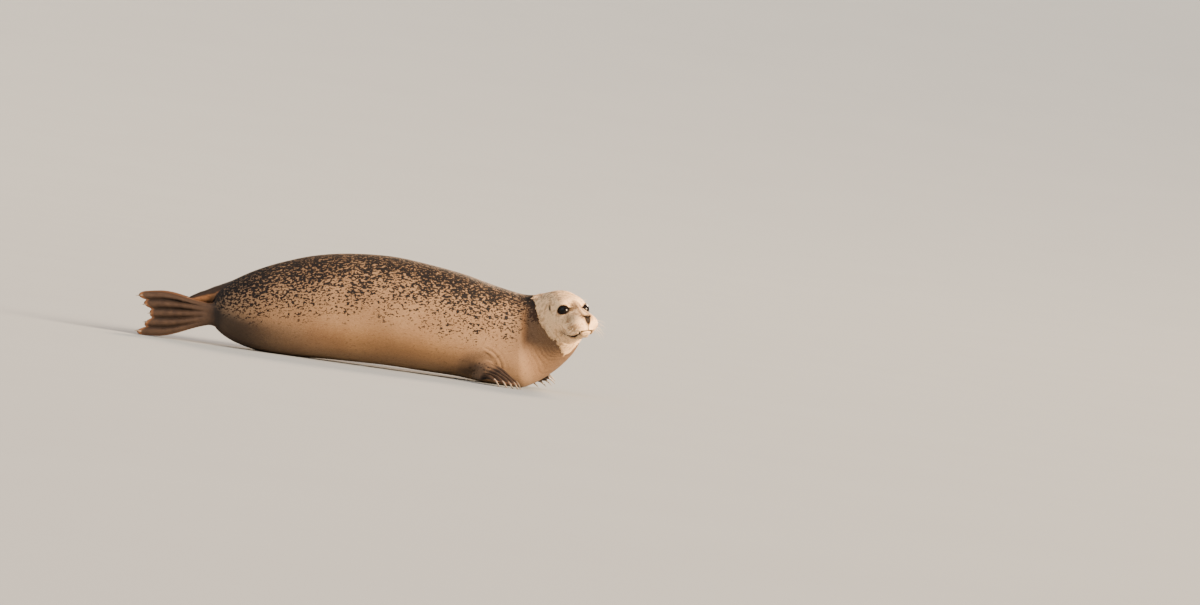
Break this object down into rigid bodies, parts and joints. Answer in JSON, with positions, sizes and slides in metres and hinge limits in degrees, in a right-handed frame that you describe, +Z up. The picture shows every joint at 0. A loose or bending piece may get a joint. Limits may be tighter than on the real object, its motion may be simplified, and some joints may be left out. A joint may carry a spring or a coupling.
{
  "type": "harbor seal",
  "caption": "Life-size still model of a harbor seal lying on its belly, head raised and turned to its right, hind flippers held together behind.",
  "frame": {"origin": "middle of the bottom of the animal's box, on the floor it lies on", "axes": "+X towards the chest and head end, along the body; +Y to the seal's left; +Z up"},
  "size_m": [1.5078, 0.4816, 0.3735],
  "materials": {
    "pale_fur": "short dry pale fur",
    "neck_fur": "short damp tan fur",
    "body_fur": "short damp fur, dark blotches over tan",
    "flipper_fur": "very short dark damp fur",
    "eye": "wet gloss",
    "claw": "horn"
  },
  "bodies": {
    "root": {"head": "pale_fur", "lower_jaw": "pale_fur", "eye_left": "eye", "eye_right": "eye", "neck": "neck_fur", "chest": "body_fur", "belly": "body_fur", "pelvis": "body_fur", "tail": "flipper_fur", "fore_flipper_left": "flipper_fur", "fore_flipper_right": "flipper_fur", "hind_flipper_left": "flipper_fur", "hind_flipper_right": "flipper_fur", "fore_claw_left_1": "claw", "fore_claw_left_2": "claw", "fore_claw_left_3": "claw", "fore_claw_left_4": "claw", "fore_claw_left_5": "claw", "fore_claw_right_1": "claw", "fore_claw_right_2": "claw", "fore_claw_right_3": "claw", "fore_claw_right_4": "claw", "fore_claw_right_5": "claw", "hind_claw_left_1": "claw", "hind_claw_left_2": "claw", "hind_claw_left_3": "claw", "hind_claw_left_4": "claw", "hind_claw_left_5": "claw", "hind_claw_right_1": "claw", "hind_claw_right_2": "claw", "hind_claw_right_3": "claw", "hind_claw_right_4": "claw", "hind_claw_right_5": "claw"}
  },
  "joints": []
}
